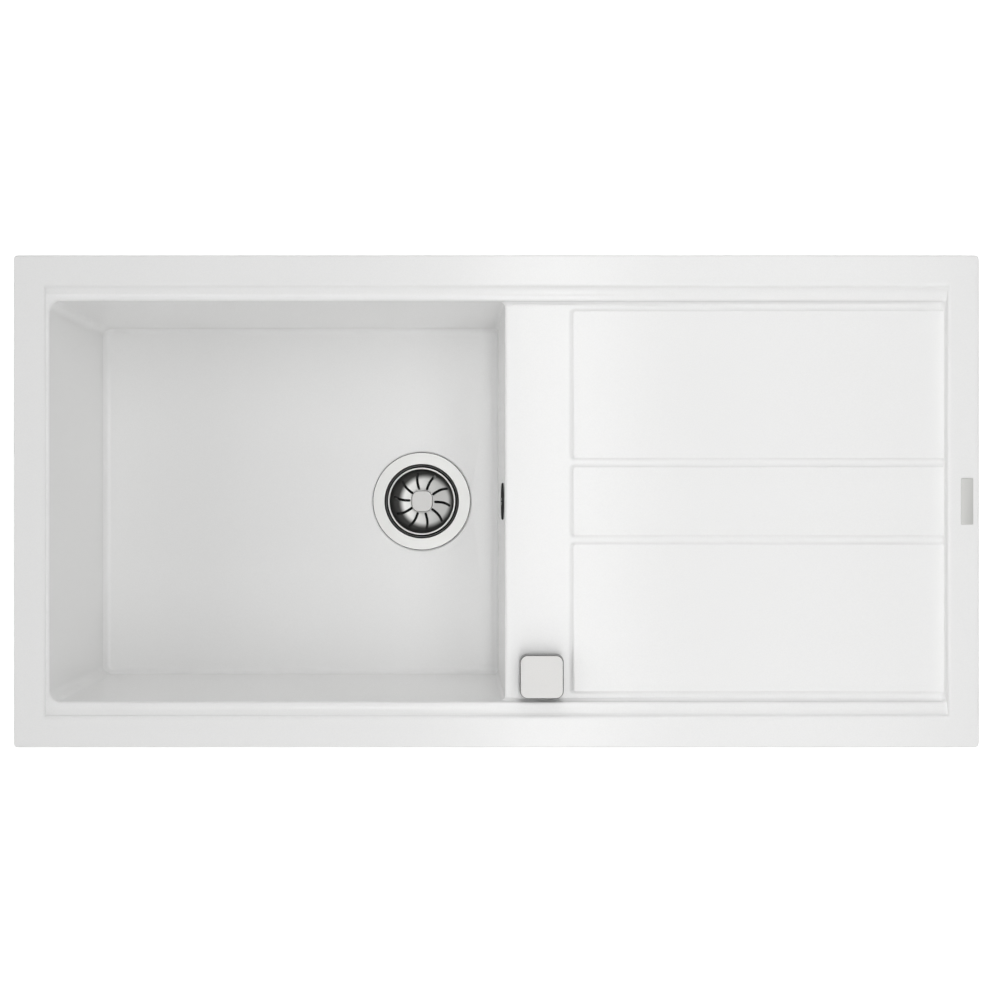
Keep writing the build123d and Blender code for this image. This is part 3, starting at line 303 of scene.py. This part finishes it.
gloss = nodes.new("ShaderNodeMapRange")
gloss.inputs["From Min"].default_value = 0.3
gloss.inputs["From Max"].default_value = 0.7
links.new(lines.outputs["Fac"], gloss.inputs["Value"])
links.new(group_in.outputs["Smoothest"], gloss.inputs["To Min"])
links.new(group_in.outputs["Roughest"], gloss.inputs["To Max"])
links.new(gloss.outputs["Result"], group_out.inputs["Roughness"])
raised = nodes.new("ShaderNodeBump")
links.new(lines.outputs["Fac"], raised.inputs["Height"])
links.new(group_in.outputs["Depth"], raised.inputs["Distance"])
links.new(raised.outputs["Normal"], group_out.inputs["Normal"])
print("group", marks_group.name, "with", len(nodes), "nodes")

# %% [markdown]
# Each finish is one Principled shader fed by one of the groups. The grained finishes are
# the stone composite, the plastics, the rubbers, the foam and the cast or plated metals.
# A grain is given by its size in millimetres and by the two colours that it clouds between.


# %% Grained finishes
def finish(name, group, values, metallic=0.0, moved_by=None, **sockets):
    """A material with one Principled shader that a shared group drives."""
    material = bpy.data.materials.new(name)
    material.use_nodes = True
    nodes, links = material.node_tree.nodes, material.node_tree.links
    shader = nodes["Principled BSDF"]
    shader.inputs["Metallic"].default_value = metallic
    for socket, value in sockets.items():
        shader.inputs[socket.replace("_", " ")].default_value = value
    place = nodes.new("ShaderNodeTexCoord")
    effect = nodes.new("ShaderNodeGroup")
    effect.node_tree = group
    for label, value in values.items():
        effect.inputs[label].default_value = value
    if moved_by is None:
        links.new(place.outputs["Object"], effect.inputs["Vector"])
    else:
        moved = nodes.new("ShaderNodeMapping")
        moved.inputs["Location"].default_value = moved_by
        links.new(place.outputs["Object"], moved.inputs["Vector"])
        links.new(moved.outputs["Vector"], effect.inputs["Vector"])
    for output in ("Colour", "Roughness", "Normal"):
        if output in effect.outputs:
            socket = "Base Color" if output == "Colour" else output
            links.new(effect.outputs[output], shader.inputs[socket])
    return material


def grained(name, grain_mm, colours, gloss, depth_mm, **more):
    """A material with the shared grain."""
    values = {
        "Scale": 1000.0 / grain_mm,
        "Colour": (*colours[0], 1),
        "Other colour": (*colours[1], 1),
        "Smoothest": gloss[0],
        "Roughest": gloss[1],
        "Depth": depth_mm / 1000,
    }
    return finish(name, grain_group, values, **more)


composite = grained(
    "white stone composite", 1.2, ((0.905, 0.905, 0.9), (0.88, 0.88, 0.876)), (0.2, 0.27), 0.012
)
black_plastic = grained(
    "black plastic", 0.5, ((0.012, 0.012, 0.013), (0.018, 0.018, 0.019)), (0.55, 0.7), 0.02
)
grey_plastic = grained(
    "grey polypropylene", 0.8, ((0.42, 0.43, 0.44), (0.39, 0.4, 0.41)), (0.4, 0.5), 0.015
)
rubber = grained(
    "grey rubber", 0.6, ((0.05, 0.05, 0.052), (0.035, 0.035, 0.037)), (0.6, 0.75), 0.02
)
foam = grained(
    "sealing foam", 1.4, ((0.06, 0.06, 0.062), (0.02, 0.02, 0.021)), (0.8, 0.95), 0.25
)
chrome = grained(
    "satin chrome",
    0.4,
    ((0.71, 0.705, 0.695), (0.69, 0.685, 0.675)),
    (0.56, 0.64),
    0.002,
    metallic=1.0,
)
brass = grained(
    "turned brass", 0.7, ((0.78, 0.58, 0.3), (0.7, 0.5, 0.24)), (0.28, 0.42), 0.01, metallic=1.0
)
zinc = grained(
    "zinc plating", 3.5, ((0.62, 0.64, 0.66), (0.5, 0.52, 0.54)), (0.3, 0.5), 0.008, metallic=1.0
)
# Dark steel also serves as painted shade in the cup's mouth and on the sides of the basket knob.
dark_steel = grained(
    "dark steel", 0.5, ((0.06, 0.06, 0.06), (0.04, 0.04, 0.04)), (0.3, 0.45), 0.005, metallic=1.0
)
# Painted dark reflection and shade for the sides of the knob cap.
chrome_with_painted_dark_reflection = grained(
    "chrome with painted dark reflection",
    0.4,
    ((0.09, 0.09, 0.088), (0.07, 0.07, 0.069)),
    (0.14, 0.22),
    0.001,
    metallic=1.0,
)
# Painted shade: a darker steel for the bead in the gap round the basket.
steel_with_painted_shade = grained(
    "steel with painted shade", 0.5, ((0.2, 0.2, 0.197), (0.16, 0.16, 0.157)), (0.3, 0.45), 0.005, metallic=1.0
)
black_rubber = grained(
    "black rubber",
    0.6,
    ((0.012, 0.012, 0.012), (0.008, 0.008, 0.008)),
    (0.7, 0.85),
    0.02,
    Specular_IOR_Level=0.3,
)
screw_metal = grained(
    "screw steel", 0.5, ((0.6, 0.6, 0.59), (0.52, 0.52, 0.51)), (0.25, 0.4), 0.006, metallic=1.0
)
print("materials so far:", len(bpy.data.materials))

# %% [markdown]
# The steel of the waste shows circles round its own axis, and the small blank plate at the
# right end shows straight brushing along its length.

# %% Steel with tool marks
waste_x = -0.0873


def marked_steel(name, colour, is_round, marks_mm, gloss, depth_mm):
    """A steel finish with marks round the waste's axis, or straight ones."""
    values = {
        "Round": is_round,
        "Scale": 1000.0 / marks_mm,
        "Smoothest": gloss[0],
        "Roughest": gloss[1],
        "Depth": depth_mm / 1000,
    }
    moved_by = (-waste_x, 0, 0) if is_round else (0, 0, 0)
    material = finish(name, marks_group, values, metallic=1.0, moved_by=moved_by)
    shader = material.node_tree.nodes["Principled BSDF"]
    shader.inputs["Base Color"].default_value = (*colour, 1)
    return material


steel = marked_steel("turned steel", (0.74, 0.74, 0.725), 1.0, 0.25, (0.42, 0.54), 0.003)
plate_steel = marked_steel("brushed plate", (0.6, 0.6, 0.585), 0.0, 0.12, (0.28, 0.45), 0.002)
print("steel finishes:", steel.name, plate_steel.name)

# %% [markdown]
# The strainer basket is satin steel on its flat bottom. Up the wall its colour turns dark as
# painted shade and painted dark reflection. The painted shade is centred a little off the axis,
# towards the overflow.

# %% Steel of the strainer basket
painted_shade_start = 0.025
painted_shade_full = 0.0325
painted_shade_shift = 0.0042
satin_steel = (0.78, 0.78, 0.765)
painted_shade_wall_colour = (0.075, 0.075, 0.073)
dish_steel_with_painted_shade = marked_steel("strainer steel with painted shade", satin_steel, 1.0, 0.3, (0.5, 0.58), 0.0008)
nodes, links = dish_steel_with_painted_shade.node_tree.nodes, dish_steel_with_painted_shade.node_tree.links
shader = nodes["Principled BSDF"]
place = next(node for node in nodes if node.type == "MAPPING")
flat = nodes.new("ShaderNodeVectorMath")
flat.operation = "MULTIPLY"
flat.inputs[1].default_value = (1, 1, 0)
links.new(place.outputs["Vector"], flat.inputs[0])
distance = nodes.new("ShaderNodeVectorMath")
distance.operation = "DISTANCE"
distance.inputs[1].default_value = (painted_shade_shift, 0, 0)
links.new(flat.outputs["Vector"], distance.inputs[0])
# Painted shade: the colour darkens from satin steel to a dark steel with the distance from a point
# just off the axis.
painted_shade_mask = nodes.new("ShaderNodeMapRange")
painted_shade_mask.interpolation_type = "SMOOTHSTEP"
painted_shade_mask.inputs["From Min"].default_value = painted_shade_start
painted_shade_mask.inputs["From Max"].default_value = painted_shade_full
links.new(distance.outputs["Value"], painted_shade_mask.inputs["Value"])
shade = nodes.new("ShaderNodeMixRGB")
shade.inputs["Color1"].default_value = (*satin_steel, 1)
shade.inputs["Color2"].default_value = (*painted_shade_wall_colour, 1)
links.new(painted_shade_mask.outputs["Result"], shade.inputs["Fac"])
links.new(shade.outputs["Color"], shader.inputs["Base Color"])
print("strainer steel with painted shade turns dark from", painted_shade_start, "to", painted_shade_full)

# %% [markdown]
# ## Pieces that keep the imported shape
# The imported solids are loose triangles, so every facet would show. A copy whose triangles
# are joined again can be shaded smoothly: faces that meet at less than a set angle blend,
# sharper edges stay crisp. Weighted normals then keep the large flat faces flat next to
# their rounded edges.


# %% Helpers that read the record and shade a piece
same_place = 0.000001


def body_of_node(node):
    """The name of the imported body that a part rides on."""
    for body, members in frame["record"]["behaviour"]["bodies"].items():
        if node in members:
            return body
    return "root"


def slot_of_node(node):
    """The record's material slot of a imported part."""
    for row in frame["record"]["subparts"]:
        if row["node"] == node:
            return row["material_slot"]
    return None


def only(piece):
    """Selects this piece alone and makes it active."""
    bpy.ops.object.select_all(action="DESELECT")
    piece.select_set(True)
    bpy.context.view_layer.objects.active = piece


def smooth(piece, degrees):
    """Shades a piece smooth, except over edges sharper than this."""
    only(piece)
    bpy.ops.object.shade_smooth_by_angle(angle=radians(degrees))
    normals = piece.modifiers.new("even normals", "WEIGHTED_NORMAL")
    normals.keep_sharp = True
    bpy.ops.object.modifier_apply(modifier=normals.name)


def paint_shade_on_sides(piece, material, upright=0.75):
    """Paints shade on the sides of a piece with a second, darker finish, the first on its top."""
    piece.data.materials.append(material)
    for face in piece.data.polygons:
        face.material_index = int(abs(face.normal.z) < upright)


# %% [markdown]
# Every imported part gets such a copy in the finish of its material, apart from the three that
# are modelled again further down. A few parts of the strainer and the overflow are darker or
# brighter than their material says, so they take a finish of their own. The sides of the
# basket knob take dark steel as painted shade, which shows from above as a dark outline.

# %% Smooth copies of the imported parts
copy_angle = 35.0


def smooth_copy(node, name, material):
    """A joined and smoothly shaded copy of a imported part, which it stands for."""
    piece = bpy.data.objects.new(name, frame["nodes"][node].data.copy())
    bpy.context.scene.collection.objects.link(piece)
    only(piece)
    bpy.ops.object.mode_set(mode="EDIT")
    bpy.ops.mesh.select_all(action="SELECT")
    bpy.ops.mesh.remove_doubles(threshold=same_place)
    bpy.ops.object.mode_set(mode="OBJECT")
    smooth(piece, copy_angle)
    piece.data.materials.clear()
    piece.data.materials.append(material)
    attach(piece, body_of_node(node))
    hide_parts(node)
    return piece


finish_of_slot = {
    "composite": composite,
    "foam": foam,
    "plate": plate_steel,
    "steel": steel,
    "satin_chrome": chrome,
    "fastener": screw_metal,
    "rubber": rubber,
    "black_plastic": black_plastic,
    "grey_plastic": grey_plastic,
    "brass": brass,
    "clip_zinc": zinc,
}
finish_of_node = {
    "stopper_stem": dark_steel,
    "stopper_seal": black_rubber,
    "overflow_grid": black_rubber,
    "basket_knob": chrome,
}
own_pieces = {"basket", "strainer_flange", "knob_cap"}
pieces = {}
for node in sorted(set(frame["nodes"]) - own_pieces):
    material = finish_of_node.get(node, finish_of_slot[slot_of_node(node)])
    pieces[node] = smooth_copy(node, node + "_finished", material)
# Painted shade: the sides of the basket knob take the dark steel.
paint_shade_on_sides(pieces["basket_knob"], dark_steel)
print("smooth copies:", len(pieces))

# %% [markdown]
# ## Pressed steel of the waste
# The cup and the basket are pressings, with thinner edges and softer curves than a solid
# with plain roundings shows, so they are modelled again here. A lathe does this best: one
# point is extruded along the section, its corners are bevelled, and the line is spun round
# the axis of the waste.


# %% Drawing a section and spinning it
seed_size = 0.001
spin_steps = 192


def start_line(name, place):
    """Starts a piece as a single point, in edit mode."""
    bpy.ops.object.select_all(action="DESELECT")
    bpy.ops.mesh.primitive_plane_add(size=seed_size, location=(0, 0, 0))
    piece = bpy.context.object
    piece.name = name
    bpy.ops.object.mode_set(mode="EDIT")
    bpy.ops.mesh.select_all(action="SELECT")
    bpy.ops.mesh.merge(type="CENTER")
    bpy.ops.transform.translate(value=place)
    return piece


def draw_section(name, points):
    """Extrudes a closed line through points of radius and height beside the axis."""
    piece = start_line(name, (waste_x + points[0][0], 0, points[0][1]))
    for here, there in zip(points, points[1:] + points[:1]):
        step = (there[0] - here[0], 0, there[1] - here[1])
        bpy.ops.mesh.extrude_region_move(TRANSFORM_OT_translate={"value": step})
    bpy.ops.mesh.select_all(action="SELECT")
    bpy.ops.mesh.remove_doubles(threshold=same_place)
    return piece


def select_points(piece, chosen):
    """In edit mode, selects the points whose place suits."""
    bpy.ops.mesh.select_mode(type="VERT")
    bpy.ops.mesh.select_all(action="DESELECT")
    bpy.ops.object.mode_set(mode="OBJECT")
    for point in piece.data.vertices:
        point.select = chosen(point.co)
    bpy.ops.object.mode_set(mode="EDIT")


def select_upright_edges(piece, chosen):
    """In edit mode, selects the upright edges whose place suits."""
    bpy.ops.mesh.select_mode(type="EDGE")
    bpy.ops.mesh.select_all(action="DESELECT")
    bpy.ops.object.mode_set(mode="OBJECT")
    for edge in piece.data.edges:
        low, high = (piece.data.vertices[number].co for number in edge.vertices)
        edge.select = (low - high).xy.length < same_place and chosen(low)
    bpy.ops.object.mode_set(mode="EDIT")


def round_corner(piece, radius, height, size, steps=6):
    """Bevels the corner of a section at this radius and height."""
    corner = Vector((waste_x + radius, 0, height))
    select_points(piece, lambda place: (place - corner).length < same_place * 10)
    bpy.ops.mesh.bevel(offset=size, segments=steps, affect="VERTICES")


def spin_section():
    """Turns the section into a closed round piece and leaves edit mode."""
    bpy.ops.mesh.select_all(action="SELECT")
    bpy.ops.mesh.spin(steps=spin_steps, angle=2 * pi, center=(waste_x, 0, 0), axis=(0, 0, 1))
    bpy.ops.mesh.select_all(action="SELECT")
    bpy.ops.mesh.remove_doubles(threshold=same_place)
    bpy.ops.mesh.normals_make_consistent(inside=False)
    bpy.ops.object.mode_set(mode="OBJECT")


def dress(piece, node, materials, degrees):
    """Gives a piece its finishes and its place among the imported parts."""
    for material in materials:
        piece.data.materials.append(material)
    smooth(piece, degrees)
    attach(piece, body_of_node(node))
    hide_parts(node)
    print(piece.name, "faces:", len(piece.data.polygons))


def radius_of(place):
    """Distance of a point from the waste's axis."""
    return (place.xy - Vector((waste_x, 0))).length


# %% [markdown]
# The cup is one pressing: a flat ring that lies in the floor of the bowl, a steep wall and a
# foot with a wide hole. Its outer edge and its mouth catch little light, so the faces there
# take a dark steel as painted shade.

# %% Pressed cup with its flange
flange_low, flange_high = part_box("strainer_flange")
flange_edge = flange_high.y
flange_sheet = 0.0012
mouth = 0.0431
cup_foot = 0.0408
throat = 0.024
painted_shade_edge = 0.0008
painted_shade_mouth = 0.0002
top, floor_of_cup = flange_high.z, flange_low.z + flange_sheet
cup_corners = (
    (flange_edge, top, 0.0007),
    (mouth, top, 0.0006),
    (cup_foot, floor_of_cup, 0.004),
    (cup_foot + flange_sheet, flange_low.z, 0.005),
    (mouth + flange_sheet, top - flange_sheet, 0.0008),
)
cup = draw_section(
    "pressed_cup",
    [
        (flange_edge, top - flange_sheet),
        (flange_edge, top),
        (mouth, top),
        (cup_foot, floor_of_cup),
        (throat, floor_of_cup),
        (throat, flange_low.z),
        (cup_foot + flange_sheet, flange_low.z),
        (mouth + flange_sheet, top - flange_sheet),
    ],
)
for radius, height, size in cup_corners:
    round_corner(cup, radius, height, size)
spin_section()
dress(cup, "strainer_flange", (steel, dark_steel), degrees=30.0)
# Painted shade: the faces in the mouth and at the outer edge take the dark steel.
for face in cup.data.polygons:
    reach = radius_of(face.center)
    in_the_mouth = reach < mouth + painted_shade_mouth
    face.material_index = int(in_the_mouth or reach > flange_edge - painted_shade_edge)

# %% [markdown]
# The basket hangs on a bead that is pressed into the wall of the cup. From above it shows as
# a thin grey ring in the dark gap round the basket, and its steel is painted darker as the
# shade of that gap.

# %% Bead in the cup wall
bead_radius = 0.0414
bead_size = 0.0005
bead_depth = 0.0024
bead_round = bead_size * 0.95
bead_height = flange_high.z - bead_depth
cup_bead = draw_section(
    "cup_bead",
    [
        (bead_radius + bead_size, bead_height - bead_size),
        (bead_radius + bead_size, bead_height + bead_size),
        (bead_radius - bead_size, bead_height + bead_size),
        (bead_radius - bead_size, bead_height - bead_size),
    ],
)
bpy.ops.mesh.select_all(action="SELECT")
bpy.ops.mesh.bevel(offset=bead_round, segments=4, affect="VERTICES")
spin_section()
# Painted shade: the bead takes a darker steel than the cup.
dress(cup_bead, "strainer_flange", (steel_with_painted_shade,), degrees=60.0)

# %% [markdown]
# The basket is one soft dish with a narrow bead round its rim. Its section follows a curve
# between an ellipse and a square, flat in the middle and steep at the rim, with the same
# curve one sheet further out as its underside.

# %% Strainer basket
basket_low, basket_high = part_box("basket")
basket_edge = basket_high.y
basket_sheet = 0.0008
dish_rim = 0.0373
dish_squareness = 2.7
dish_steps = 30
stud_hole = 0.0034
hem_inner = 0.0378
hem_height = 0.0022
hem_round = 0.0005
dish_bottom = basket_low.z + basket_sheet


def dish_line(offset):
    """Points of the dish from the stud hole to the rim, moved out by an offset."""
    reach = dish_rim + offset
    rise = basket_high.z - hem_round - dish_bottom + offset
    points = []
    for step in range(dish_steps + 1):
        turn = pi / 2 * step / dish_steps
        radius = reach * sin(turn) ** (2 / dish_squareness)
        height = dish_bottom - offset + rise * (1 - cos(turn) ** (2 / dish_squareness))
        if radius > stud_hole:
            points.append((radius, height))
    return points


hem_low = basket_high.z - hem_height
underside = [point for point in dish_line(basket_sheet) if point[1] < hem_low]
basket = draw_section(
    "strainer_basket",
    [(stud_hole, dish_bottom)]
    + dish_line(0.0)
    + [(hem_inner, basket_high.z), (basket_edge, basket_high.z), (basket_edge, hem_low)]
    + underside[::-1]
    + [(stud_hole, basket_low.z)],
)
round_corner(basket, basket_edge, basket_high.z, hem_round)
round_corner(basket, basket_edge, hem_low, hem_round)
spin_section()
print("basket dish", dish_rim, "deep", round(basket_high.z - dish_bottom, 4))

# %% [markdown]
# Ten curved slots drain the basket. One cutter is made from its middle line: the line is
# extruded upwards, thickened and rounded at its ends. Copies of it are spun round the axis,
# and a boolean takes them all out of the dish at once.

# %% Drain slots
slot_count = 10
slot_width = 0.003
slot_steps = 14
slot_track = ((0.0138, -3.6), (0.0238, -3.8), (0.0334, -10.2))
slot_end_round = slot_width * 0.48
slot_end_reach = slot_width * 0.51
cutter_below, cutter_above = 0.002, 0.009
cutter_low, cutter_high = basket_low.z - cutter_below, dish_bottom + cutter_above


def along_slot(share):
    """A point of the slot's middle line, by its share of the way out."""
    weights = ((1 - share) * (1 - 2 * share), 4 * share * (1 - share), share * (2 * share - 1))
    reach = sum(weight * point[0] for weight, point in zip(weights, slot_track))
    turn = radians(sum(weight * point[1] for weight, point in zip(weights, slot_track)))
    return Vector((waste_x + reach * cos(turn), reach * sin(turn), cutter_low))


slot_line = [along_slot(step / slot_steps) for step in range(slot_steps + 1)]
cutter = start_line("slot_cutter", slot_line[0])
for here, there in zip(slot_line, slot_line[1:]):
    bpy.ops.mesh.extrude_region_move(TRANSFORM_OT_translate={"value": there - here})
bpy.ops.mesh.select_all(action="SELECT")
rise = (0, 0, cutter_high - cutter_low)
bpy.ops.mesh.extrude_region_move(TRANSFORM_OT_translate={"value": rise})
bpy.ops.object.mode_set(mode="OBJECT")
only(cutter)
width = cutter.modifiers.new("width", "SOLIDIFY")
width.thickness = slot_width
width.offset = 0
bpy.ops.object.modifier_apply(modifier=width.name)
bpy.ops.object.mode_set(mode="EDIT")
slot_ends = [slot_line[0].xy, slot_line[-1].xy]
select_upright_edges(
    cutter, lambda place: min((place.xy - end).length for end in slot_ends) < slot_end_reach
)
bpy.ops.mesh.bevel(offset=slot_end_round, segments=6, affect="EDGES")
bpy.ops.mesh.select_all(action="SELECT")
last_turn = 2 * pi * (slot_count - 1) / slot_count
bpy.ops.mesh.spin(
    steps=slot_count - 1, dupli=True, angle=last_turn, center=(waste_x, 0, 0), axis=(0, 0, 1)
)
bpy.ops.mesh.select_all(action="SELECT")
bpy.ops.mesh.normals_make_consistent(inside=False)
bpy.ops.object.mode_set(mode="OBJECT")
only(basket)
slots = basket.modifiers.new("slots", "BOOLEAN")
slots.operation = "DIFFERENCE"
slots.solver = "EXACT"
slots.object = cutter
bpy.ops.object.modifier_apply(modifier=slots.name)
bpy.data.objects.remove(cutter)
dress(basket, "basket", (dish_steel_with_painted_shade, steel), degrees=35.0)
for face in basket.data.polygons:
    face.material_index = int(radius_of(face.center) > dish_rim)

# %% [markdown]
# ## Cap of the waste knob
# The cap is a plated square with round corners. Its top is satin and its edge rolls over in
# a small round to the sides, which are painted dark as a dark reflection and shade and show
# from above as a thin dark line. It starts as a block, whose upright edges are bevelled
# before the top is drawn in and rounded.

# %% Knob cap
cap_low, cap_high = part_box("knob_cap")
cap_corner = 0.0082
cap_edge = 0.0012
cap_taper = 0.0006
cap_bright_share = 0.2
cap_middle = (cap_low + cap_high) / 2
cap_size = cap_high - cap_low
bpy.ops.object.select_all(action="DESELECT")
bpy.ops.mesh.primitive_cube_add(size=1, location=cap_middle, scale=cap_size)
cap = bpy.context.object
cap.name = "plated_cap"
bpy.ops.object.transform_apply(location=True, rotation=True, scale=True)
bpy.ops.object.mode_set(mode="EDIT")
select_upright_edges(cap, lambda place: True)
bpy.ops.mesh.bevel(offset=cap_corner, segments=12, affect="EDGES")
select_points(cap, lambda place: place.z > cap_middle.z)
drawn_in = 1 - 2 * cap_taper / cap_size.x
bpy.ops.transform.resize(value=(drawn_in, drawn_in, 1), center_override=cap_middle)
bpy.ops.mesh.bevel(offset=cap_edge, segments=6, affect="EDGES")
bpy.ops.object.mode_set(mode="OBJECT")
dress(cap, "knob_cap", (chrome, chrome_with_painted_dark_reflection), degrees=50.0)
painted_dark_below = cap_high.z - cap_edge * cap_bright_share
# Painted dark reflection: faces below the top round take the dark chrome.
for face in cap.data.polygons:
    face.material_index = int(face.center.z < painted_dark_below)
print("cap width", round(cap_size.x, 4))
